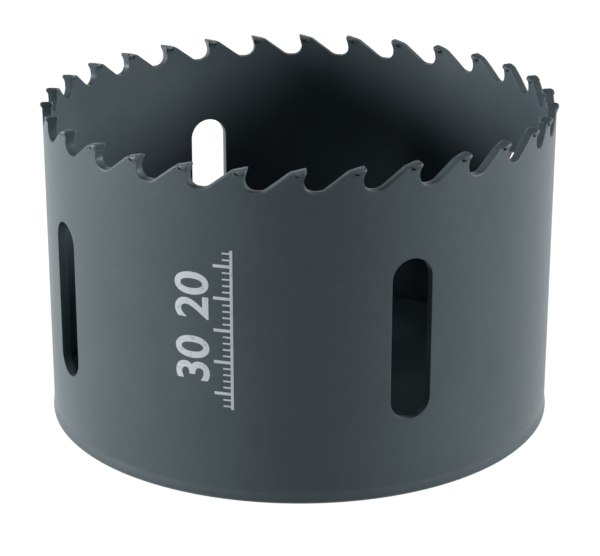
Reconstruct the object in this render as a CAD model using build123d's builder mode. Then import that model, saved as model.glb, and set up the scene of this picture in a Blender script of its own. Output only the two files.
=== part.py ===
from build123d import *
import math
import os

# Carbide-tipped hole saw, 83 mm (3 1/4 in) nominal, for wood and cladding.
# Millimetres, +Z up. The origin is the middle of the back plate's underside, and the teeth point up.
# Seen from above, the saw turns anticlockwise: each tooth cuts towards growing bearings.
# Bearings are degrees anticlockwise from +X. A tooth is drawn at bearing 0, where +Y is forwards,
# +X is outwards and "back" is -Y, and is then turned to its place.

# ---- cup wall: a steel strip, rolled and butt-welded into a ring ----
wall_diameter = 81.8            # outside
wall_thickness = 1.4
overall_height = 52.4           # from the back plate's underside to the cutting edges

# ---- back plate ----
plate_thickness = 4.8           # 3/16 in
rim_thickness = 1.6             # the rim that the wall stands on
rim_proud = 0.2                 # the rim stands this far out past the wall
rim_round = 0.45                # round of the rim's upper corner
rim_chamfer = 0.4               # chamfer of the rim's lower corner
spigot_clearance = 0.1          # round the spigot, inside the wall
spigot_chamfer = 0.8
thread_bore_diameter = 14.6     # 5/8-18 UNF, over the crests of the internal thread
thread_chamfer = 0.9
pin_hole_diameter = 6.6         # two pairs of holes for the arbor's drive pins
pin_hole_count = 4
pin_hole_gap = 2.1              # steel left between the threaded bore and a pin hole
pin_hole_chamfer = 0.4

# ---- obround slots, for prising out the plug ----
slot_width = 6.5
slot_length = 25.4
slot_places = (                 # bearing, and height of the slot's middle
    (-90.0, 25.2),
    (0.0, 25.2),
    (90.4, 25.2),
    (184.0, 24.5),              # punched a little low, and off its quarter
)

# ---- teeth ----
tooth_count = 30
tooth_spacing = 12.09           # degrees from one cutting edge to the next; the gap at the weld is shorter
first_tooth = -42.6             # bearing of the first cutting edge past the weld
gullet_depth = 3.5
gullet_floor_length = 2.7       # from the foot of the ramp to the steel face of the tooth behind
gullet_radius = 1.5             # under the steel face
ramp_foot_radius = 1.8
land_length = 2.4               # from the cutting edge back to the top of the ramp
heel_radius = 1.6               # round between the land and the ramp
relief_angle = 14.0             # fall of the land behind the cutting edge
steel_setback = 0.5             # steel face behind the cutting edge

# ---- carbide tips, brazed into the seats ----
tip_length = 1.8                # along the rim, from the cutting edge back
tip_height = 1.05               # from the cutting edge down to the seat
tip_overhang = 0.4              # past the wall, on each side
rake_angle = 13.0               # the front face leans forwards
tip_toe_radius = 0.3            # round of the front lower corner
tip_heel_length = 0.55          # cut-off of the back lower corner, along the seat
tip_heel_height = 0.3           # and up its back face
tip_flare_angle = 15.0          # each side leans out towards the cutting edge
tip_side_clearance = 9.0        # each side draws in towards the back

# ---- worked out from these ----
wall_radius = wall_diameter / 2
bore_radius = wall_radius - wall_thickness
wall_mid_radius = wall_radius - wall_thickness / 2
rim_radius = wall_radius + rim_proud
pin_circle_diameter = thread_bore_diameter + 2 * pin_hole_gap + pin_hole_diameter
tooth_bearings = [first_tooth + number * tooth_spacing for number in range(tooth_count)]
weld_gap = 360 - (tooth_count - 1) * tooth_spacing
cut_margin = 1.0                # how far a cutter runs past what it cuts
cutter_reach = wall_radius + cut_margin
above_teeth = overall_height + cut_margin
relief_slope = math.tan(math.radians(relief_angle))
rake_slope = math.tan(math.radians(rake_angle))
flare_slope = math.tan(math.radians(tip_flare_angle))

os.makedirs("parts", exist_ok=True)

def gullet_cutter(spacing):
    """All that lies above one tooth's back, as far as the steel face of the tooth behind, a number of
    degrees away. It is drawn on a plane that faces the middle of that stretch, so that neither of
    its ends is far out of square."""
    steel_face = math.radians(spacing) * wall_mid_radius + steel_setback    # behind the cutting edge
    ramp_foot = steel_face - gullet_floor_length
    middle = steel_face / 2
    gullet_floor = overall_height - gullet_depth
    tooth_back = Plane.YZ.rotated((0, 0, -math.degrees(middle / wall_mid_radius)))
    with BuildPart() as cutter:
        with BuildSketch(tooth_back):
            with BuildLine():
                Polyline(
                    (middle, above_teeth),
                    (middle, overall_height),
                    (middle - land_length, overall_height - land_length * relief_slope),
                    (middle - ramp_foot, gullet_floor),
                    (middle - steel_face, gullet_floor),
                    (middle - steel_face, above_teeth),
                    close=True,
                )
            outline = make_face()
            corner, foot = outline.vertices().group_by(Axis.Y)[0].sort_by(Axis.X)
            heel = outline.vertices().group_by(Axis.Y)[1][0]
            fillet(corner, radius=gullet_radius)
            fillet(foot, radius=ramp_foot_radius)
            fillet(heel, radius=heel_radius)
        extrude(amount=cutter_reach)
    return cutter.part


# Seat cutter: the square notch in a tooth's front upper corner that a tip is brazed into.
with BuildPart() as seat_cutter:
    with BuildSketch(Plane.YZ):
        with Locations((-tip_length, overall_height - tip_height)):
            Rectangle(tip_length + cut_margin, tip_height + cut_margin, align=(Align.MIN, Align.MIN))
    extrude(amount=cutter_reach)

# Slot cutter: one obround, standing upright at bearing 0 on the level of the origin.
with BuildPart() as slot_cutter:
    with BuildSketch(Plane.YZ):
        SlotOverall(slot_length, slot_width, rotation=90)
    extrude(amount=cutter_reach)

with BuildPart() as cup_wall:
    with BuildSketch(Plane.XY.offset(rim_thickness)):
        Circle(wall_radius)
        Circle(bore_radius, mode=Mode.SUBTRACT)
    extrude(amount=overall_height - rim_thickness)
    behind_weld, *regular = [Location((0, 0, 0), (0, 0, bearing)) for bearing in tooth_bearings]
    with Locations(*regular):
        add(gullet_cutter(tooth_spacing), mode=Mode.SUBTRACT)
    with Locations(behind_weld):
        add(gullet_cutter(weld_gap), mode=Mode.SUBTRACT)
    with Locations(behind_weld, *regular):
        add(seat_cutter.part, mode=Mode.SUBTRACT)
    for bearing, height in slot_places:
        with Locations(Location((0, 0, height), (0, 0, bearing))):
            add(slot_cutter.part, mode=Mode.SUBTRACT)
cup_wall.part.label = "cup_wall"
export_step(cup_wall.part, "parts/cup_wall.step")

with BuildPart() as back_plate:
    with BuildSketch():
        Circle(rim_radius)
    extrude(amount=rim_thickness)
    fillet(back_plate.edges().sort_by(Axis.Z)[-1], radius=rim_round)
    chamfer(back_plate.edges().sort_by(Axis.Z)[0], length=rim_chamfer)
    with BuildSketch(Plane.XY.offset(rim_thickness)):
        Circle(bore_radius - spigot_clearance)
    extrude(amount=plate_thickness - rim_thickness)
    chamfer(back_plate.edges().sort_by(Axis.Z)[-1], length=spigot_chamfer)
    Hole(radius=thread_bore_diameter / 2)
    bore_edges = back_plate.edges().filter_by(GeomType.CIRCLE).sort_by(SortBy.RADIUS)[:2]
    chamfer(bore_edges, length=thread_chamfer)
    with PolarLocations(pin_circle_diameter / 2, pin_hole_count):
        Hole(radius=pin_hole_diameter / 2)
    pin_hole_edges = back_plate.edges().filter_by(
        lambda edge: edge.geom_type == GeomType.CIRCLE and edge.radius < thread_bore_diameter / 2
    )
    chamfer(pin_hole_edges, length=pin_hole_chamfer)
back_plate.part.label = "back_plate"
export_step(back_plate.part, "parts/back_plate.step")

# One tip: its side outline across the wall, trimmed to the flared and tapered form seen from the
# front. The cut-off back corner leaves a small opening in the corner of the seat.
tip_half_width = wall_thickness / 2 + tip_overhang
tip_foot = overall_height - tip_height
flare_top = overall_height + cut_margin
flare_foot = tip_foot - cut_margin
half_width_at_top = tip_half_width + (flare_top - overall_height) * flare_slope
half_width_at_foot = tip_half_width - (overall_height - flare_foot) * flare_slope

with BuildPart() as tip_form:
    with BuildSketch(Plane.YZ.offset(wall_mid_radius - tip_half_width)):
        with BuildLine():
            Polyline(
                (0, overall_height),
                (-tip_height * rake_slope, tip_foot),
                (-tip_length + tip_heel_length, tip_foot),
                (-tip_length, tip_foot + tip_heel_height),
                (-tip_length, overall_height - tip_length * relief_slope),
                close=True,
            )
        side_outline = make_face()
        toe = side_outline.vertices().group_by(Axis.Y)[0].sort_by(Axis.X)[-1]
        fillet(toe, radius=tip_toe_radius)
    extrude(amount=2 * tip_half_width)
    with BuildSketch(Plane.XZ):
        with BuildLine():
            Polyline(
                (wall_mid_radius - half_width_at_foot, flare_foot),
                (wall_mid_radius + half_width_at_foot, flare_foot),
                (wall_mid_radius + half_width_at_top, flare_top),
                (wall_mid_radius - half_width_at_top, flare_top),
                close=True,
            )
        make_face()
    extrude(amount=tip_length, taper=tip_side_clearance, mode=Mode.INTERSECT)

for number, bearing in enumerate(tooth_bearings, 1):
    with BuildPart() as carbide_tip:
        with Locations(Location((0, 0, 0), (0, 0, bearing))):
            add(tip_form.part)
    carbide_tip.part.label = f"carbide_tip_{number:02d}"
    export_step(carbide_tip.part, f"parts/{carbide_tip.part.label}.step")
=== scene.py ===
import math

import bmesh
import bpy
import numpy as np
from mathutils import Matrix, Quaternion, Vector


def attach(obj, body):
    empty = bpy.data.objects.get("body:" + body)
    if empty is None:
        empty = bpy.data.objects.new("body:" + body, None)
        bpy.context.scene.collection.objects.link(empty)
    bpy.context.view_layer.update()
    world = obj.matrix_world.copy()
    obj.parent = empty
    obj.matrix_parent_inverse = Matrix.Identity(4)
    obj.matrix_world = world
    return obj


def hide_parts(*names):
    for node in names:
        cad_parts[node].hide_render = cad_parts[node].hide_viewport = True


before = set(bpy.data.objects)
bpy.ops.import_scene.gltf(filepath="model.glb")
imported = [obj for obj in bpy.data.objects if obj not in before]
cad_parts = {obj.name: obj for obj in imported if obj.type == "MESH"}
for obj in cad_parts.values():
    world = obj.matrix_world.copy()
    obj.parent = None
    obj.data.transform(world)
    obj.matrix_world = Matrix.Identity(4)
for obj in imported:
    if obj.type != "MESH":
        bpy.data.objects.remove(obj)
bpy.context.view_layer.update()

# An 83 mm carbide-tipped hole saw, painted all over, standing on its back plate with its teeth up.
# The saw's sizes are in millimetres and its meshes are made in metres. The stage is in metres.
# Bearings are anticlockwise from +X as seen from above, which is also the way the saw turns.
# Each point of a piece carries a figure for its wear and painted light, from 0 on the broad faces to 1
# on the corners, where the enamel is thin and rubbed and is also painted paler as a highlight, and
# down to -1 in the small openings under the tips, where near-black is painted in as their shade.

METRE = 0.001

# ---- sizes of the saw, the same as the model's ----
wall_radius = 40.9
bore_radius = 39.5
wall_thickness = wall_radius - bore_radius
wall_middle = (wall_radius + bore_radius) / 2
overall_height = 52.4
plate_thickness = 4.8
rim_thickness = 1.6
rim_radius = 41.1
rim_chamfer = 0.4
spigot_radius = 39.4
spigot_chamfer = 0.8
thread_bore_radius = 7.3
thread_root_radius = 7.94       # 5/8-18 UNF
thread_pitch = 1.411
thread_chamfer = 0.9
pin_circle_radius = 12.7
pin_hole_radius = 3.3
pin_hole_count = 4
pin_hole_chamfer = 0.4
slot_half_width = 3.25
slot_half_run = 9.45            # half of a slot's straight side
slot_places = ((-90.0, 25.2), (0.0, 25.2), (90.4, 25.2), (184.0, 24.5))
tooth_count = 30
tooth_spacing = 12.09           # degrees
first_tooth = -42.6             # bearing of the first cutting edge past the wall's weld
weld_gap = 360 - (tooth_count - 1) * tooth_spacing
gullet_floor = overall_height - 3.5
gullet_floor_length = 2.7
gullet_radius = 1.5
ramp_foot_radius = 1.8
land_length = 2.4
heel_radius = 1.6
relief_slope = math.tan(math.radians(14.0))
steel_setback = 0.5
tip_length = 1.8
tip_foot = overall_height - 1.05
tip_overhang = 0.4
rake_slope = math.tan(math.radians(13.0))

# ---- finish of the edges, in millimetres ----
milled_edge = 0.32              # the toothed rim's outer corner, deburred and heavy with paint
burred_edge = 0.10              # its inner corner
punched_edge = 0.08             # paint over the slots' corners
foot_edge = 0.1                 # paint over the wall's foot, beside the weld
brazed_seam = 0.015             # what is left of the joint between a tip and its seat
braze_edge = 0.04               # corner of the steel face, under the run of braze
rubbed_and_highlit_edge = 0.05              # the paint is rubbed, and painted paler as a highlight, on any corner rounder than this
seat_front = 0.27               # the seat's front corner, behind the cutting edge
seat_fillet = 0.3               # braze in its back corner
painted_shade_reach = 0.45              # how far painted near-black shade lies round that corner
braze_run = ((0.35, 0.33), (0.43, 0.65))    # behind the cutting edge, and down from the seat
cutting_round = 0.12            # the cutting edge and a tip's front corners, under paint
tip_edge = 0.16                 # the land's corners, under paint
wear_and_highlight_fade = 0.5                 # how fast the wear and the painted highlight on a tip fade behind the cutting edge
least_wear_and_highlight = 0.3                # share of it that is left far behind
tip_notch = (0.85, 0.46)        # gap left by the braze in the seat's back corner, along and up
tip_nose = (0.5, 0.4, 0.96)     # rounding of the two front corners in plan: back, across, fullness
tip_shoulder = (0.5, 0.42, 0.9)     # rounding of the upper side corners: across, down, fullness
flare_depth = 1.08              # how far down from the cutting edge a tip is wider than the wall
flare_full = 0.42               # share of that depth over which it keeps its full width
flare_taper = 0.25              # share of the overhang lost in each millimetre back
flare_end = (1.2, 2.1)          # where it rounds off, behind the cutting edge

# ---- columns of points ----
gullet_start = 1.1              # each tooth's columns begin in the gullet, ahead of the edge behind it
level_shift = 1.0               # and are this much further back on the level ring below


# ---------------------------------------------------------------- surfaces

def rounded_path(corners, radii, steps, period=(0.0, 0.0)):
    """A closed or repeating path of straight runs joined by arcs: its points, and the unit normal to
    the left of travel at each. At a corner where the heading turns by an angle, an arc of radius r
    begins r*tan(turn/2) before the corner. At a share s of the arc the heading is the first heading
    plus s times the turn, and the point is the arc's centre less r times the left normal there, or
    plus it where the turn is to the right. A corner of radius 0 is one point."""
    corners, radii, steps = (np.array(values, float) for values in (corners, radii, steps))
    steps = steps.astype(int)
    before, after = np.roll(corners, 1, axis=0), np.roll(corners, -1, axis=0)
    before[0] -= period
    after[-1] += period
    run_in, run_out = corners - before, after - corners
    heading = np.arctan2(run_in[:, 1], run_in[:, 0])
    turn = (np.arctan2(run_out[:, 1], run_out[:, 0]) - heading + np.pi) % (2 * np.pi) - np.pi
    bend = (np.sign(turn) * radii)[:, None]
    lead = (radii * np.tan(np.abs(turn) / 2))[:, None]
    forwards = np.stack([np.cos(heading), np.sin(heading)], axis=1)
    left = np.stack([-np.sin(heading), np.cos(heading)], axis=1)
    centre = corners - lead * forwards + bend * left
    corner = np.repeat(np.arange(len(corners)), steps)
    place = np.arange(len(corner)) - (np.cumsum(steps) - steps)[corner]
    angle = heading[corner] + turn[corner] * place / np.maximum(steps[corner] - 1, 1)
    normal = np.stack([-np.sin(angle), np.cos(angle)], axis=1)
    return centre[corner] - bend[corner] * normal, normal


def edge_rows(thickness, outer, inner, steps=4):
    """Setback, depth and wear of the rows that carry an edge across a sheet: a quarter round, the
    square edge, a quarter round. At angle t of the round, from the face, the setback is
    radius*(1 - sin t), the depth is radius*(1 - cos t) and the wear is the sine of 2t; it paints
    the round paler, partly as rubbed paint and partly as a painted highlight. The outer
    and the inner radius are each one number, or one for each column."""
    t = np.linspace(0, np.pi / 2, steps + 1)[:, None]
    outer, inner = np.broadcast_arrays(np.atleast_1d(outer), inner)
    edge_wear_and_painted_light = [np.sin(2 * t) * (radius > rubbed_and_highlit_edge) for radius in (outer, inner)]
    return (
        np.concatenate([outer * (1 - np.sin(t)), (inner * (1 - np.sin(t)))[::-1]]),
        np.concatenate([outer * (1 - np.cos(t)), thickness - (inner * (1 - np.cos(t)))[::-1]]),
        np.concatenate([edge_wear_and_painted_light[0], edge_wear_and_painted_light[1][::-1]]),
    )


def around(bearing, radius, height):
    """Points on a turned surface: x = radius*cos(bearing), y = radius*sin(bearing), z = height."""
    bearing, radius, height = np.broadcast_arrays(bearing, radius, height)
    return np.stack([radius * np.cos(bearing), radius * np.sin(bearing), height], axis=-1)


def turned(points, bearing):
    """Points turned about the axis by a bearing."""
    x, y, z = np.moveaxis(points, -1, 0)
    across, along = math.cos(bearing), math.sin(bearing)
    return np.stack([x * across - y * along, x * along + y * across, z], axis=-1)


def quarter_round(share, fullness):
    """How far a quarter round has dropped at a share of the way out along it, from 0 to 1: 1 less the
    root of 1 - fullness*share*share. A fullness under 1 stops it short of a whole quarter."""
    return 1 - np.sqrt(1 - fullness * np.clip(share, 0, 1) ** 2)


def fall(share):
    """A smooth fall from 1 at a share of 0 to 0 at a share of 1: 1 - s*s*(3 - 2*s)."""
    share = np.clip(share, 0, 1)
    return 1 - share * share * (3 - 2 * share)


def grid(points, wear_and_painted_light=0.0, closed=True, skip=None):
    """A grid of points, rows by columns, as quads. Closed joins the last column to the first. Skip
    marks the quads to leave out of a closed grid."""
    rows, columns = points.shape[:2]
    index = np.arange(rows * columns).reshape(rows, columns)
    across = np.roll(index, -1, axis=1)
    quads = np.stack([index[:-1], index[1:], across[1:], across[:-1]], axis=-1)
    if not closed:
        quads = quads[:, :-1]
    quads = quads.reshape(-1, 4) if skip is None else quads[~skip]
    return points.reshape(-1, 3), quads, np.broadcast_to(wear_and_painted_light, (rows, columns)).reshape(-1)


def cut_block(skip, rows, middle, half):
    """Marks a block of a grid's quads to be left out: those between the first and the last of some
    rows, and half of its columns on each side of a middle one. Returns the rows and columns of the
    grid points round it, from its first row and last column: up the last column, back along the last
    row, down the first column and along the first row."""
    columns = np.arange(middle - half, middle + half + 1)
    skip[rows.min():rows.max(), columns[:-1] % skip.shape[1]] = True
    side, end = np.ones(len(rows) - 1, int), np.ones(len(columns) - 1, int)
    return (
        np.concatenate([rows[:-1], rows[-1] * end, rows[:0:-1], rows[0] * end]),
        np.concatenate([columns[-1] * side, columns[:0:-1], columns[0] * side, columns[:-1]]),
    )


def collar(hole, frame_points, shares=(0.0, 0.05, 0.16, 0.36, 0.65, 1.0)):
    """Rings of points from a hole's outline out to the frame of grid points round it: each ring
    lies its share of the way along the straight lines between the two."""
    shares = np.array(shares)[:, None, None]
    return hole[None] + shares * (frame_points - hole)[None]


def place_piece(name, mesh, material):
    """A mesh as a piece of the saw, which rides its one body."""
    mesh.materials.append(material)
    piece = bpy.data.objects.new(name, mesh)
    bpy.context.scene.collection.objects.link(piece)
    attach(piece, "root")
    return piece


def make_piece(name, parts, material, slot, *nodes):
    """One closed mesh from parts, each an array of points, one of faces, and the points' wear and
    painted light. Points that no face uses are left out, shared points are merged and the faces are
    turned outwards."""
    sizes = np.cumsum([0] + [len(points) for points, _, _ in parts])
    corners = np.concatenate([(faces + start).reshape(-1) for (_, faces, _), start in zip(parts, sizes)])
    counts = np.concatenate([np.full(len(faces), faces.shape[1]) for _, faces, _ in parts])
    used, corners = np.unique(corners, return_inverse=True)
    points = np.concatenate([part[0] for part in parts])[used] * METRE
    wear_and_painted_light = np.concatenate([part[2] for part in parts])[used]
    mesh = bpy.data.meshes.new(name)
    mesh.vertices.add(len(points))
    mesh.vertices.foreach_set("co", points.astype(np.float32).reshape(-1))
    mesh.loops.add(len(corners))
    mesh.loops.foreach_set("vertex_index", corners.astype(np.int32))
    mesh.polygons.add(len(counts))
    mesh.polygons.foreach_set("loop_start", (np.cumsum(counts) - counts).astype(np.int32))
    mesh.update(calc_edges=True)
    mesh.attributes.new("wear_and_painted_light", "FLOAT", "POINT").data.foreach_set("value", wear_and_painted_light.astype(np.float32))
    shell = bmesh.new()
    shell.from_mesh(mesh)
    bmesh.ops.remove_doubles(shell, verts=shell.verts, dist=2e-7)
    bmesh.ops.recalc_face_normals(shell, faces=shell.faces)
    shell.to_mesh(mesh)
    shell.free()
    mesh.shade_smooth()
    piece = place_piece(name, mesh, material)
    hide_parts(*nodes)


# ---------------------------------------------------------------- finishes

def srgb(code):
    """An sRGB hex colour as linear RGBA."""
    value = np.array([int(code[place:place + 2], 16) for place in (1, 3, 5)]) / 255
    value = np.where(value <= 0.04045, value / 12.92, ((value + 0.055) / 1.055) ** 2.4)
    return (*value.tolist(), 1.0)


def add_node(tree, kind, settings=None, inputs=None):
    """Adds a node with its settings. Each input, by name or number, is given a plain value or is
    linked to another node's socket."""
    node = tree.nodes.new("ShaderNode" + kind)
    for name, value in (settings or {}).items():
        setattr(node, name, value)
    for name, value in (inputs or {}).items():
        if isinstance(value, bpy.types.NodeSocket):
            tree.links.new(value, node.inputs[name])
        else:
            node.inputs[name].default_value = value
    return node


def new_material(name):
    """An empty node material, and its tree."""
    material = bpy.data.materials.new(name)
    material.use_nodes = True
    material.node_tree.nodes.clear()
    return material, material.node_tree


def baked_enamel(name, body, pale_paint_and_highlight, roughness, rub_and_highlight, peel=1.0):
    """Slate-blue stoving enamel, sprayed over blasted steel: a satin skin with a faint orange peel,
    small dust nibs, a cloudy spread of thickness, thinner paler paint on the corners, which also
    stands in for their highlight as painted light, and painted near-black shade in the openings under
    the tips. Rub is how far the paler paint and painted highlight show, and peel is the depth of the
    orange peel beside the usual one."""
    material, tree = new_material(name)
    place = add_node(tree, "TexCoord").outputs["Object"]
    wear_and_painted_light = add_node(tree, "Attribute", {"attribute_name": "wear_and_painted_light"}).outputs["Fac"]
    # Clouds 14 mm across, where the coat is thicker or thinner.
    clouds = add_node(tree, "TexNoise", {}, {
        "Vector": place, "Scale": 70.0, "Detail": 3.0, "Roughness": 0.55,
    }).outputs["Fac"]
    # Mottle 1.1 mm across, drawn coarser than the paint's own grain so that it shows.
    mottle = add_node(tree, "TexNoise", {}, {
        "Vector": place, "Scale": 900.0, "Detail": 2.0, "Roughness": 0.6,
    })
    # Nibs of dust 0.25 mm across and about 3 mm apart, on one place in five.
    nibs = add_node(tree, "TexVoronoi", {"feature": "F1"}, {
        "Vector": place, "Scale": 330.0, "Randomness": 1.0,
    })
    nib = add_node(tree, "MapRange", {}, {
        "Value": nibs.outputs["Distance"], "From Min": 0.035, "From Max": 0.10, "To Min": 1.0, "To Max": 0.0,
    })
    chance = add_node(tree, "SeparateColor", {}, {"Color": nibs.outputs["Color"]})
    few = add_node(tree, "Math", {"operation": "GREATER_THAN"}, {0: chance.outputs["Red"], 1: 0.8})
    dust = add_node(tree, "Math", {"operation": "MULTIPLY"}, {
        0: nib.outputs["Result"], 1: few.outputs["Value"],
    }).outputs["Value"]
    # The corners are rubbed, and painted paler as a highlight, in patches 0.7 mm across.
    patches = add_node(tree, "TexNoise", {}, {"Vector": place, "Scale": 1500.0, "Detail": 3.0})
    patchy = add_node(tree, "MapRange", {}, {
        "Value": patches.outputs["Fac"], "From Min": 0.35, "From Max": 0.65, "To Min": 0.35, "To Max": 1.0,
    })
    rubbed_and_highlit_here = add_node(tree, "Math", {"operation": "MULTIPLY"}, {0: wear_and_painted_light, 1: patchy.outputs["Result"]})
    rubbing_and_highlight = add_node(tree, "Math", {"operation": "MULTIPLY"}, {0: rubbed_and_highlit_here.outputs["Value"], 1: rub_and_highlight})
    # The coat's brightness runs from 0.85 to 1.15 of the written one with the clouds, and 0.08 to
    # either side of that with the mottle.
    shade = add_node(tree, "Math", {"operation": "MULTIPLY_ADD"}, {0: clouds, 1: 0.30, 2: 0.85})
    grain = add_node(tree, "Math", {"operation": "MULTIPLY_ADD"}, {
        0: mottle.outputs["Fac"], 1: 0.16, 2: -0.08,
    })
    level = add_node(tree, "Math", {"operation": "ADD"}, {
        0: shade.outputs["Value"], 1: grain.outputs["Value"],
    })
    coat = add_node(tree, "HueSaturation", {}, {"Color": srgb(body), "Value": level.outputs["Value"]})
    # Paler colour on the corners: partly thin rubbed paint, partly a painted highlight.
    thin = add_node(tree, "Mix", {"data_type": "RGBA"}, {
        0: rubbing_and_highlight.outputs["Value"], 6: coat.outputs["Color"], 7: srgb(pale_paint_and_highlight),
    })
    nibbed = add_node(tree, "Math", {"operation": "MULTIPLY"}, {0: dust, 1: 0.22})
    colour = add_node(tree, "Mix", {"data_type": "RGBA"}, {
        0: nibbed.outputs["Value"], 6: thin.outputs[2], 7: srgb(pale_paint_and_highlight),
    })
    # Painted shade: near-black where the figure runs below 0, in the openings under the tips.
    notch_shade_amount = add_node(tree, "Math", {"operation": "MULTIPLY"}, {0: wear_and_painted_light, 1: -1.0})
    painted_notch_shade = add_node(tree, "Mix", {"data_type": "RGBA"}, {
        0: notch_shade_amount.outputs["Value"], 6: colour.outputs[2], 7: srgb("#08090a"),
    })
    gloss = add_node(tree, "MapRange", {}, {
        "Value": clouds, "From Min": 0.3, "From Max": 0.7,
        "To Min": roughness - 0.03, "To Max": roughness + 0.03,
    })
    # Orange peel 0.9 mm across and a few micrometres deep, with the nibs standing on it.
    skin = add_node(tree, "TexNoise", {}, {"Vector": place, "Scale": 1100.0, "Detail": 1.0})
    lumps = add_node(tree, "Math", {"operation": "MULTIPLY_ADD"}, {0: dust, 1: 0.6, 2: skin.outputs["Fac"]})
    bump = add_node(tree, "Bump", {}, {
        "Strength": 0.10 * peel, "Distance": 0.00006, "Height": lumps.outputs["Value"],
    })
    shader = add_node(tree, "BsdfPrincipled", {}, {
        "Base Color": painted_notch_shade.outputs[2],
        "Roughness": gloss.outputs["Result"],
        "Specular IOR Level": 0.2,
        "Normal": bump.outputs["Normal"],
    })
    add_node(tree, "OutputMaterial", {}, {"Surface": shader.outputs["BSDF"]})
    return material


# The second colour is the paler one on the corners, partly rubbed paint and partly a painted highlight; on
# the tips it is near white and brightest at the cutting edge.
wall_enamel = baked_enamel("baked_enamel_on_wall", "#58656b", "#8a9599", roughness=0.38, rub_and_highlight=0.15)
plate_enamel = baked_enamel("baked_enamel_on_plate", "#58656b", "#8a9599", roughness=0.40, rub_and_highlight=0.30)
tip_enamel = baked_enamel("baked_enamel_on_carbide", "#5a676d", "#bcc5c8", roughness=0.33, rub_and_highlight=0.65, peel=0.6)


# ---------------------------------------------------------------- cup wall

def toothed_outline(pitch):
    """The rim's outline from one tooth's gullet to the next tooth's, as distances ahead of the second
    one's cutting edge and heights: the gullet's floor, the ramp up the tooth's back, the heel, the
    land, the seat cut for the tip, the steel face with the braze run down it, and the round gullet.
    The pitch is the distance to the cutting edge behind. With the points come their normals, and the
    radius of the corner between the outline there and the wall's faces, which grows round the gullet."""
    ramp_foot = pitch + steel_setback - gullet_floor_length
    heel_height = overall_height - land_length * relief_slope
    ramp_run, ramp_rise = ramp_foot - land_length, heel_height - gullet_floor
    gullet_steps = 9
    corners, radii, steps, edges = zip(
        ((gullet_start - pitch, gullet_floor), 0, 1, milled_edge),
        ((-ramp_foot, gullet_floor), ramp_foot_radius, 6, milled_edge),
        *(((-ramp_foot + share * ramp_run, gullet_floor + share * ramp_rise), 0, 1, milled_edge)
          for share in (0.40, 0.64)),
        ((-land_length, heel_height), heel_radius, 5, milled_edge),
        ((-tip_length, overall_height - tip_length * relief_slope), 0.02, 3, brazed_seam),
        ((-tip_length, tip_foot), seat_fillet, 5, brazed_seam),
        *(((-back, tip_foot), 0, 1, brazed_seam) for back in (1.4, 1.0, 0.6)),
        ((-seat_front, tip_foot), 0.03, 3, brazed_seam),
        *(((-back, tip_foot - down), 0, 1, braze_edge) for back, down in braze_run),
        ((-steel_setback, gullet_floor), gullet_radius, gullet_steps, milled_edge),
    )
    edge = np.repeat(edges, steps)
    edge[-gullet_steps:] = np.linspace(braze_edge, milled_edge, gullet_steps)
    return *rounded_path(corners, radii, steps, period=(pitch, 0.0)), edge


def flare(ahead, height):
    """How far a tooth stands out past the wall on each side: the tip's overhang, times a smooth fall
    over the lower part of the flare's depth below the line of the land, times a straight taper
    towards the back, times a smooth fall where the flare ends."""
    land = overall_height + np.minimum(ahead, 0) * relief_slope
    down = fall(((land - height) / flare_depth - flare_full) / (1 - flare_full))
    back = fall((-ahead - flare_end[0]) / (flare_end[1] - flare_end[0]))
    return tip_overhang * down * np.clip(1 + flare_taper * ahead, 0, 1) * back


def rim_points(cutting_edge, ahead, height, depth):
    """Points at a distance ahead of a cutting edge's bearing, a height, and a depth under the wall's
    outer face. By each tip they are swollen by the flare, in proportion to their distance from the
    wall's middle."""
    half = wall_thickness / 2
    radius = wall_middle + (half - depth) * (1 + flare(ahead, height) / half)
    return around(cutting_edge + ahead / wall_middle, radius, height)


def slot_outline(side, end):
    """An obround's outline in as many points as the block frame round it: side runs up each straight
    side, end runs round each half circle. The left normal looks into the opening."""
    run = np.linspace(-slot_half_run, slot_half_run, side + 1)[:-1]
    half_turn = np.linspace(0, np.pi, end + 1)[:-1]
    bow = np.stack([np.cos(half_turn), np.sin(half_turn)], axis=1)
    edge = np.full(side, slot_half_width)
    points = np.concatenate([
        np.stack([edge, run], axis=1),
        slot_half_width * bow + (0, slot_half_run),
        np.stack([-edge, -run], axis=1),
        -slot_half_width * bow - (0, slot_half_run),
    ])
    straight = np.broadcast_to((-1.0, 0.0), (side, 2))
    return points, np.concatenate([straight, -bow, -straight, bow])


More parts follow.
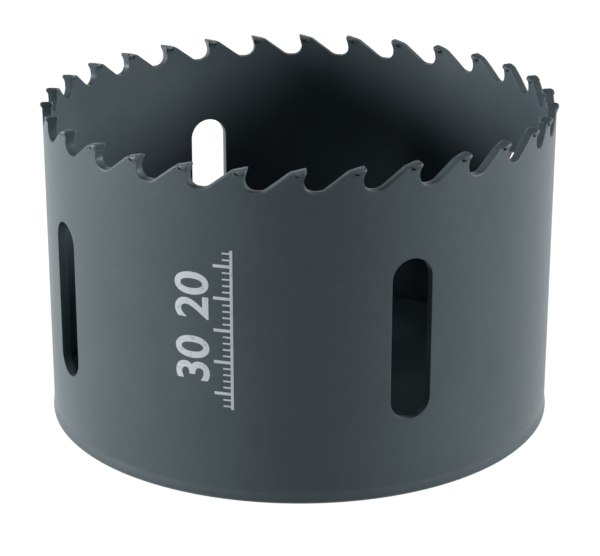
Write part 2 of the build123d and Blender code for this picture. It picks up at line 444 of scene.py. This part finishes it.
def wall_parts():
    """The cup wall. The two faces are ruled from the toothed outline down to a level ring, then
    gridded to the foot, with a collar of rings round each slot. Edge rows carry every outline from
    the outer face to the inner one. A slot's flat outline is laid on a face of some radius at the
    bearing whose sine is the distance across over that radius."""
    pitch = np.radians([weld_gap] + [tooth_spacing] * (tooth_count - 1)) * wall_middle
    outline, normal, edge = (np.concatenate(values) for values in zip(*map(toothed_outline, pitch)))
    inner_edge = np.minimum(edge, burred_edge)
    per_tooth = len(edge) // tooth_count
    cutting_edge = np.radians(first_tooth + tooth_spacing * np.arange(tooth_count)).repeat(per_tooth)
    share = np.tile(np.arange(per_tooth) / per_tooth, tooth_count)
    level_ahead = gullet_start - level_shift - pitch.repeat(per_tooth) * (1 - share)
    level_bearing = cutting_edge + level_ahead / wall_middle

    # The level ring, then a block of rows at the height of the slots, then the foot.
    level_height = 46.0
    block_heights = np.linspace(42.0, 8.0, 13)
    heights = np.concatenate([[level_height], block_heights, [5.0, rim_thickness + foot_edge]])
    block_rows = np.arange(len(block_heights), 0, -1)
    half_block = 26                     # columns on each side of a slot's middle
    columns = len(edge)
    skip = np.zeros((len(heights) - 1, columns), bool)
    openings = []
    for bearing, height in slot_places:
        bearing = level_bearing[0] + (math.radians(bearing) - level_bearing[0]) % (2 * np.pi)
        middle = int(np.searchsorted(level_bearing, bearing))
        frame_rows, frame_columns = cut_block(skip, block_rows, middle, half_block)
        frame_bearing = level_bearing[frame_columns % columns] + 2 * np.pi * (frame_columns // columns)
        openings.append((bearing, height, np.stack([frame_bearing, heights[frame_rows]], axis=1)))
    hole, hole_normal = slot_outline(len(block_rows) - 1, 2 * half_block)
    mouth = hole - punched_edge * hole_normal

    parts = []
    shares = np.array([0.0, 0.03, 0.07, 0.12, 0.19, 0.30, 0.45, 0.68, 1.0])[:, None]
    for depth, rim_edge in ((0.0, edge), (wall_thickness, inner_edge)):
        radius = wall_radius - depth
        start_ahead, start_height = (outline - rim_edge[:, None] * normal).T
        ahead = start_ahead + shares * (level_ahead - start_ahead)
        height = start_height + shares * (level_height - start_height)
        parts.append(grid(rim_points(cutting_edge, ahead, height, depth)))
        parts.append(grid(around(level_bearing[None], radius, heights[:, None]), skip=skip))
        for bearing, height, frame_points in openings:
            ring = np.stack([bearing + np.arcsin(mouth[:, 0] / radius), height + mouth[:, 1]], axis=1)
            rings = collar(ring, frame_points)
            parts.append(grid(around(rings[..., 0], radius, rings[..., 1])))

    setback, depth, edge_wear_and_painted_light = edge_rows(wall_thickness, edge, inner_edge)
    # Painted shade: the square edge round each seat's back corner, under the tip, is drawn near-black.
    behind, up = -tip_length - outline[:, 0], outline[:, 1] - tip_foot
    shaded_seat_corner = (-painted_shade_reach < behind) & (behind < 0.1) & (up < painted_shade_reach)
    edge_wear_and_painted_light[4:6] -= shaded_seat_corner            # on the square edge between the two quarter rounds
    ahead, height = np.moveaxis(outline - setback[..., None] * normal, -1, 0)
    parts.append(grid(rim_points(cutting_edge, ahead, height, depth), edge_wear_and_painted_light))
    setback, depth, _ = edge_rows(wall_thickness, foot_edge, foot_edge)
    parts.append(grid(around(level_bearing[None], wall_radius - depth, rim_thickness + setback)))
    setback, depth, edge_wear_and_painted_light = edge_rows(wall_thickness, punched_edge, punched_edge)
    radius = wall_radius - depth
    across, up = np.moveaxis(hole - setback[..., None] * hole_normal, -1, 0)
    for bearing, height, _ in openings:
        parts.append(grid(around(bearing + np.arcsin(across / radius), radius, height + up), edge_wear_and_painted_light))
    return parts


# ---------------------------------------------------------------- back plate

plate_columns = 240
sheet_edge = 17.6               # outer edge of the flat sheets that the pin holes are cut in
lip_radius = 8.3                # and their inner edge, round the bore's chamfer
ledge_edge = 40.3               # outer edge of the ledge between the weld and the spigot
spigot_flat = 38.0              # last ring on the spigot's flat face
rim_inset = 0.03                # the painted rim is drawn this far inside the model's
crest_wear = 0.08               # the thread is rubbed this far out from its crest
pin_hole_lip = 0.12             # flat ring round a pin hole's chamfer
weld_spread = 0.22              # the weld's ripple fades this far above and below the rim's top
# The weld's outline: out past the wall, up from the rim, the corner's radius and its steps.
weld_blend = ((0.05, 0.05, 0.4, 4), (0.0, 0.45, 0, 1), (-0.04, 0.65, 0, 1))


def threaded_bore(bearing):
    """The bore. At each height the steel stands at the largest of three radii: the two chamfer cones,
    and the thread, whose flanks climb at 60 degrees from a flat crest an eighth of a pitch wide on
    each side, and which advances one pitch a turn. A flat lip runs round each chamfer."""
    height = np.linspace(plate_thickness, 0.0, 73)[:, None]
    phase = (height / thread_pitch - bearing[None] / (2 * np.pi)) % 1.0
    from_crest = thread_pitch * np.abs(phase - 0.5)
    climb = (from_crest - thread_pitch / 8) * math.tan(math.radians(60))
    thread = thread_bore_radius + np.clip(climb, 0, thread_root_radius - thread_bore_radius)
    cone = thread_bore_radius + thread_chamfer + np.maximum(height - plate_thickness, -height)
    bore = np.maximum(thread, cone)
    on_crest = bore < thread_bore_radius + crest_wear
    lip = np.array([lip_radius, thread_bore_radius + thread_chamfer])[:, None]
    return [
        grid(around(bearing[None], bore, height), 0.6 * on_crest),
        *(grid(around(bearing[None], lip, level)) for level in (0.0, plate_thickness)),
    ]


def plate_parts():
    """The back plate: its outline turned about the axis, from the underside out round the rim, up
    over the weld that runs onto the wall, down to the ledge and over the spigot; flat sheets above
    and below, with collars round the pin holes; the turned pin holes; and the threaded bore."""
    bearing = 2 * np.pi / plate_columns * np.arange(plate_columns)
    outline, _ = rounded_path(*zip(
        ((sheet_edge, 0.0), 0, 1),
        ((rim_radius - rim_chamfer, 0.0), 0.15, 4),
        ((rim_radius - rim_inset, rim_chamfer), 0.3, 5),
        ((rim_radius - rim_inset, rim_thickness / 2), 0.8, 4),
        *(((wall_radius + out, rim_thickness + up), corner, steps) for out, up, corner, steps in weld_blend),
        ((ledge_edge, rim_thickness), 0, 1),
        ((spigot_radius, rim_thickness), 0.2, 4),
        ((spigot_radius, plate_thickness - spigot_chamfer), 0.2, 4),
        ((spigot_radius - spigot_chamfer, plate_thickness), 0.2, 4),
        ((spigot_flat, plate_thickness), 0, 1),
        ((sheet_edge, plate_thickness), 0, 1),
    ))
    radius, height = outline[:, :1], outline[:, 1:]
    # The weld's crest wanders a little round the seam, by three sets of whole waves and under 0.05 mm
    # in all. The rim below it is a plain turned edge and stays round.
    weld = np.exp(-((height - rim_thickness) / weld_spread) ** 2) * (radius > ledge_edge)
    waves = ((0.020, 23, 1.0), (0.015, 61, 0.0), (0.012, 137, 2.0))     # height, number and start
    ripple = sum(rise * np.sin(number * bearing + start) for rise, number, start in waves)
    parts = [grid(around(bearing[None], radius + weld * ripple, height), 0.5 * weld)]

    block_radii = (8.6, 9.6, 10.6, 11.6, 12.7, 13.8, 14.8, 15.8, 16.9)
    radii = np.array([lip_radius, *block_radii, sheet_edge])
    block_rows = np.arange(1, len(block_radii) + 1)
    half_block = 17                     # columns on each side of a pin hole's middle
    skip = np.zeros((len(radii) - 1, plate_columns), bool)
    holes = []
    for number in range(pin_hole_count):
        middle = number * plate_columns // pin_hole_count
        frame_rows, frame_columns = cut_block(skip, block_rows, middle, half_block)
        holes.append((bearing[middle], frame_rows, frame_columns % plate_columns))
    # The frame's corners face the circle's diagonals, and its sides share the quarters between them.
    side, end = len(block_rows) - 1, 2 * half_block
    turn = np.concatenate([
        np.radians(corner) - np.radians(90) * np.arange(count) / count
        for corner, count in ((135, side), (45, end), (-45, side), (-135, end))
    ])
    mouth = pin_hole_radius + pin_hole_chamfer
    mouth_lip = mouth + pin_hole_lip
    profile, _ = rounded_path(*zip(
        ((mouth_lip, plate_thickness), 0, 1),
        ((mouth, plate_thickness), 0.1, 4),
        ((pin_hole_radius, plate_thickness - pin_hole_chamfer), 0.1, 4),
        ((pin_hole_radius, pin_hole_chamfer), 0.1, 4),
        ((mouth, 0.0), 0.1, 4),
        ((mouth_lip, 0.0), 0, 1),
    ))
    for level in (0.0, plate_thickness):
        sheet = around(bearing[None], radii[:, None], level)
        parts.append(grid(sheet, skip=skip))
        for middle, frame_rows, frame_columns in holes:
            ring = around(middle, pin_circle_radius, level) + turned(around(turn, mouth_lip, 0.0), middle)
            parts.append(grid(collar(ring, sheet[frame_rows, frame_columns])))
    for middle, _, _ in holes:
        bore = turned(around(turn[None], profile[:, :1], profile[:, 1:]), middle)
        parts.append(grid(bore + around(middle, pin_circle_radius, 0.0), 0.4))
    return parts + threaded_bore(bearing)


# ---------------------------------------------------------------- carbide tips

def tip_parts(bearing):
    """One tip, lofted across the rim from ring to ring. Each ring is the side outline, set in and
    drawn towards its middle, and stands off the wall's middle by half the wall and the flare there,
    less a depth, and less a quarter round at the two front corners. Near either side the land drops by
    a quarter round. The edges of the land and of the front are rounded, and those in the seat are not,
    so that the paint runs on over the joint. The last figure of each corner is 1 where near-black is
    painted in as the shade of the notch."""
    corners, radii, steps, edges, painted_notch_shade = zip(
        ((0.0, overall_height), cutting_round, 5, cutting_round, 0),
        ((-0.12, overall_height - 0.52), 0, 1, cutting_round, 0),
        ((-(overall_height - tip_foot) * rake_slope, tip_foot), 0.06, 3, 0.05, 0),
        ((-0.7, tip_foot), 0, 1, brazed_seam, 0),
        ((-tip_length + tip_notch[0], tip_foot), 0.1, 4, 0.04, 1),
        ((-tip_length, tip_foot + tip_notch[1]), 0.04, 3, 0.03, 1),
        ((-tip_length, overall_height - tip_length * relief_slope), 0.02, 3, brazed_seam, 0),
        *(((-back, overall_height - back * relief_slope), 0, 1, tip_edge, 0) for back in (1.35, 0.9, 0.45)),
    )
    outline, normal = rounded_path(corners, radii, steps)
    # Travel is clockwise here, so the left normal looks out of the carbide.
    draw = np.array([0.9, 0.7, 0.45, 0.25, 0.1])        # rings on a side, drawn towards its middle
    inwards = np.array([0.36, 0.52])                    # depths of the rings past the rounded edge
    setback, depth, edge_wear_and_painted_light = (rows[:5] for rows in edge_rows(0.0, np.repeat(edges, steps), 0.0))
    on_side, past_edge = np.zeros((len(draw), len(outline))), np.zeros((len(inwards), len(outline)))
    setback = np.concatenate([on_side + setback[0], setback, past_edge])
    depth = np.concatenate([on_side, depth, past_edge + inwards[:, None]])
    edge_wear_and_painted_light = np.concatenate([on_side, edge_wear_and_painted_light, past_edge])
    # Paint is thinnest on the cutting edge, where the paler paint also stands in for the edge's highlight,
    # and the wear and painted highlight fade behind it.
    edge_wear_and_painted_light = edge_wear_and_painted_light * (least_wear_and_highlight + (1 - least_wear_and_highlight) * np.exp(outline[:, 0] / wear_and_highlight_fade))
    # Painted shade: near-black on the rows inside the notch under the tip.
    edge_wear_and_painted_light[-len(inwards) - 1:] -= np.repeat(painted_notch_shade, steps)
    draw = np.concatenate([draw, np.zeros(len(depth) - len(draw))])[:, None, None]
    ring = outline[None] - setback[..., None] * normal[None]
    ring = ring + draw * (ring.mean(axis=1, keepdims=True) - ring)
    ahead, height = ring[..., 0], ring[..., 1]
    nose = tip_nose[1] * quarter_round(1 + ahead / tip_nose[0], tip_nose[2])
    half_width = wall_thickness / 2 + flare(ahead, height) - nose - depth
    lift = np.clip((height - tip_foot) / (overall_height - tip_foot), 0, 1) ** 2
    height = height - tip_shoulder[1] * lift * quarter_round(1 - depth / tip_shoulder[0], tip_shoulder[2])
    across = np.concatenate([half_width, -half_width[::-1]])
    ahead, height, edge_wear_and_painted_light = (np.concatenate([values, values[::-1]]) for values in (ahead, height, edge_wear_and_painted_light))
    loft = np.stack([wall_middle + across, ahead, height], axis=-1)
    points, quads, edge_wear_and_painted_light = grid(turned(loft, math.radians(bearing)), edge_wear_and_painted_light)
    count = len(outline)
    caps = np.stack([np.arange(count), np.arange(count) + len(points) - count])
    return [(points, quads, edge_wear_and_painted_light), (points, caps, edge_wear_and_painted_light)]


make_piece("toothed_cup_wall", wall_parts(), wall_enamel, "painted_wall", "cup_wall")
make_piece("threaded_back_plate", plate_parts(), plate_enamel, "painted_plate", "back_plate")
for number in range(tooth_count):
    make_piece(
        f"brazed_tip_{number + 1:02d}",
        tip_parts(first_tooth + number * tooth_spacing),
        tip_enamel, "painted_tip", f"carbide_tip_{number + 1:02d}",
    )

# ---------------------------------------------------------------- printed depth scale

scale_bearing = -127.6          # of the spine's right side
scale_ends = (14.9, 39.9)       # of the spine, up the wall
spine_width = 0.45
long_bar = (3.0, 0.24)          # reach to the left, and half the width
short_bar = (1.6, 0.13)
bar_depths = range(13, 38)
numbers = (20, 30)
number_size = 7.4
number_weight = 0.15            # added all round each figure
number_foot = 3.9               # left of the spine's right side
ink_thickness = 0.03            # half of it lies in the paint
strip_width = 0.6               # of the strips that bend round the wall
print_reach = 9.6               # no print lies further left than this


def pad_printed_ink(name):
    """Pale blue-grey ink, pad-printed on the enamel: a little thinner in small clouds."""
    material, tree = new_material(name)
    place = add_node(tree, "TexCoord").outputs["Object"]
    # Clouds 0.8 mm across, where the pad left less ink.
    clouds = add_node(tree, "TexNoise", {}, {"Vector": place, "Scale": 1200.0, "Detail": 2.0})
    thin = add_node(tree, "MapRange", {}, {
        "Value": clouds.outputs["Fac"], "From Min": 0.55, "From Max": 0.75, "To Min": 0.0, "To Max": 0.5,
    })
    ink = add_node(tree, "Mix", {"data_type": "RGBA"}, {
        0: thin.outputs["Result"], 6: srgb("#edf6fd"), 7: srgb("#a9b3b9"),
    })
    shader = add_node(tree, "BsdfPrincipled", {}, {
        "Base Color": ink.outputs[2], "Roughness": 0.45, "Specular IOR Level": 0.3,
    })
    add_node(tree, "OutputMaterial", {}, {"Surface": shader.outputs["BSDF"]})
    return material


def add_bar(flat, start, end, near, far):
    """A box of ink between two heights up the wall and two distances to the left."""
    box = bmesh.ops.create_cube(flat, size=1.0)["verts"]
    bmesh.ops.scale(flat, verts=box, vec=(end - start, far - near, ink_thickness))
    bmesh.ops.translate(flat, verts=box, vec=((start + end) / 2, (near + far) / 2, 0.0))


def add_number(flat, depth):
    """The figures of a depth, standing left of the bar at that depth."""
    text = bpy.data.curves.new("number", "FONT")
    text.body, text.align_x = str(depth), "CENTER"
    text.size, text.offset, text.extrude = number_size, number_weight, ink_thickness / 2
    text.resolution_u = 6
    number = bpy.data.objects.new("number", text)
    drawn = number.to_mesh()
    drawn.transform(Matrix.Translation((overall_height - depth, number_foot, 0.0)))
    flat.from_mesh(drawn)
    number.to_mesh_clear()
    bpy.data.objects.remove(number)
    bpy.data.curves.remove(text)


def depth_scale():
    """A plain scale of depth below the cutting edges, read from the foot up: a spine, a short bar each
    millimetre, a long one each 5 mm and a number each 10 mm. It is drawn flat, x up the wall and y
    to the left, cut into strips and then bent round the wall: the bearing is the spine's, less the
    distance to the left over the wall's radius."""
    flat = bmesh.new()
    add_bar(flat, *scale_ends, 0.0, spine_width)
    for depth in bar_depths:
        reach, half = long_bar if depth % 5 == 0 else short_bar
        height = overall_height - depth
        add_bar(flat, height - half, height + half, spine_width, reach)
    for depth in numbers:
        add_number(flat, depth)
    bmesh.ops.remove_doubles(flat, verts=flat.verts, dist=1e-4)
    bmesh.ops.triangulate(flat, faces=flat.faces)
    for place in np.arange(strip_width, print_reach, strip_width):
        geometry = [*flat.verts, *flat.edges, *flat.faces]
        bmesh.ops.bisect_plane(flat, geom=geometry, dist=1e-5, plane_co=(0, place, 0), plane_no=(0, 1, 0))
    bmesh.ops.triangulate(flat, faces=flat.faces)
    mesh = bpy.data.meshes.new("printed_depth_scale")
    flat.to_mesh(mesh)
    flat.free()
    points = np.empty(len(mesh.vertices) * 3, np.float32)
    mesh.vertices.foreach_get("co", points)
    up, left, out = points.reshape(-1, 3).T.astype(float)
    bearing = math.radians(scale_bearing) - left / wall_radius
    bent = around(bearing, wall_radius + out, up) * METRE
    mesh.vertices.foreach_set("co", bent.astype(np.float32).reshape(-1))
    mesh.update()
    place_piece("printed_depth_scale", mesh, pad_printed_ink("pad_printed_ink"))


depth_scale()

# ---------------------------------------------------------------- floor, lights, camera, in metres

camera_turn = math.radians(-23.9)       # of the viewer, anticlockwise from -Y
camera_distance = 0.32064               # from the saw's axis
camera_height = 0.13967
camera_target = (0.00008, -0.00003, 0.02107)
camera_roll = math.radians(0.028)
lamp_target = (0, 0, 0.03)
table_reach = 3
table_level = -0.00005                  # just under the plate, so that the two share no plane
screen_radius = 0.6
screen_heights = (0.33, 0.85)
screen_half_turn = 42                   # degrees to each side of straight behind
white_shown = 0.90                      # glow of the table top, as the eye sees it
tent_fill = 0.015                       # strength of the tent's light on the saw


def in_view(tree):
    """A socket that is 1 where the camera looks, also by gloss or through glass, and 0 for other rays."""
    ray = add_node(tree, "LightPath").outputs
    seen = add_node(tree, "Math", {"operation": "MAXIMUM"}, {
        0: ray["Is Camera Ray"], 1: ray["Is Glossy Ray"],
    })
    return add_node(tree, "Math", {"operation": "MAXIMUM"}, {
        0: seen.outputs["Value"], 1: ray["Is Transmission Ray"],
    }).outputs["Value"]


def matt_white_board(name):
    """A pale matt table top. To the eye and in gloss it is lifted to white, and it keeps the shadow."""
    material, tree = new_material(name)
    place = add_node(tree, "TexCoord").outputs["Object"]
    # Clouds 170 mm across.
    clouds = add_node(tree, "TexNoise", {}, {"Vector": place, "Scale": 6.0, "Detail": 2.0})
    tone = add_node(tree, "MapRange", {}, {"Value": clouds.outputs["Fac"], "To Min": 0.48, "To Max": 0.52})
    board = add_node(tree, "BsdfDiffuse", {}, {"Color": tone.outputs["Result"]})
    lift = add_node(tree, "Math", {"operation": "MULTIPLY"}, {0: in_view(tree), 1: white_shown})
    glow = add_node(tree, "Emission", {}, {"Color": srgb("#ffffff"), "Strength": lift.outputs["Value"]})
    both = add_node(tree, "AddShader", {}, {0: board.outputs["BSDF"], 1: glow.outputs["Emission"]})
    add_node(tree, "OutputMaterial", {}, {"Surface": both.outputs["Shader"]})
    return material


def black_felt(name):
    """Black wool felt, which throws back almost no light."""
    material, tree = new_material(name)
    felt = add_node(tree, "BsdfDiffuse", {}, {"Color": srgb("#1c1c1d")})
    add_node(tree, "OutputMaterial", {}, {"Surface": felt.outputs["BSDF"]})
    return material


def stand_on_stage(name, points, faces, material):
    """A mesh that belongs to the stage and not to the saw."""
    mesh = bpy.data.meshes.new(name)
    mesh.from_pydata(points, [], faces)
    mesh.materials.append(material)
    thing = bpy.data.objects.new(name, mesh)
    bpy.context.scene.collection.objects.link(thing)
    return thing


corners = [(-1, -1), (1, -1), (1, 1), (-1, 1)]
table = [(table_reach * x, table_reach * y, table_level) for x, y in corners]
stand_on_stage("table_top", table, [(0, 1, 2, 3)], matt_white_board("matt_white_board"))


def aim(thing, place, target, roll=0.0):
    """Puts a lamp or camera at a place, looking at a target, rolled about its own line of sight."""
    sight = (Vector(target) - Vector(place)).to_track_quat("-Z", "Y")
    thing.location = Vector(place)
    thing.rotation_mode = "QUATERNION"
    thing.rotation_quaternion = sight @ Quaternion((0, 0, 1), roll)
    bpy.context.scene.collection.objects.link(thing)


def softbox(name, across, up, distance, size, power):
    """A softbox of a width and a height. Across is its bearing from the viewer, positive to the right;
    up is its elevation."""
    lamp = bpy.data.lights.new(name, "AREA")
    lamp.shape = "RECTANGLE"
    lamp.size, lamp.size_y = size
    lamp.energy = power
    box = bpy.data.objects.new(name, lamp)
    bearing, rise = camera_turn + math.radians(across - 90), math.radians(up)
    reach = distance * math.cos(rise)
    place = (reach * math.cos(bearing), reach * math.sin(bearing), lamp_target[2] + distance * math.sin(rise))
    aim(box, place, lamp_target)


softbox("left_softbox", across=-84, up=7, distance=0.9, size=(0.36, 0.3), power=8.6)
softbox("right_softbox", across=83, up=16, distance=0.9, size=(0.36, 0.3), power=6.2)

# A black felt screen hangs behind, bent round the table, and keeps the white tent's glare off the
# ramps of the teeth.
bearing = camera_turn + math.radians(90) + np.radians(np.linspace(-screen_half_turn, screen_half_turn, 21))
points, quads, _ = grid(around(bearing[None], screen_radius, np.array(screen_heights)[:, None]), closed=False)
screen = stand_on_stage("felt_screen", points.tolist(), quads.tolist(), black_felt("black_felt"))
screen.visible_camera = False

# The tent is white to look at and throws a faint even light.
world = bpy.data.worlds.new("white_tent")
bpy.context.scene.world = world
world.use_nodes = True
tent = world.node_tree
tent.nodes.clear()
strength = add_node(tent, "MapRange", {}, {"Value": in_view(tent), "To Min": tent_fill, "To Max": 1.0})
sky = add_node(tent, "Background", {}, {"Color": srgb("#ffffff"), "Strength": strength.outputs["Result"]})
add_node(tent, "OutputWorld", {}, {"Surface": sky.outputs["Background"]})

camera = bpy.data.cameras.new("viewpoint")
camera.sensor_width = 36.0
camera.lens = 124.323
camera.clip_start, camera.clip_end = 0.01, 20.0
viewer = bpy.data.objects.new("viewpoint", camera)
stand = (camera_distance * math.sin(camera_turn), -camera_distance * math.cos(camera_turn), camera_height)
aim(viewer, stand, camera_target, camera_roll)
bpy.context.scene.camera = viewer

bpy.context.scene.view_settings.view_transform = "Standard"
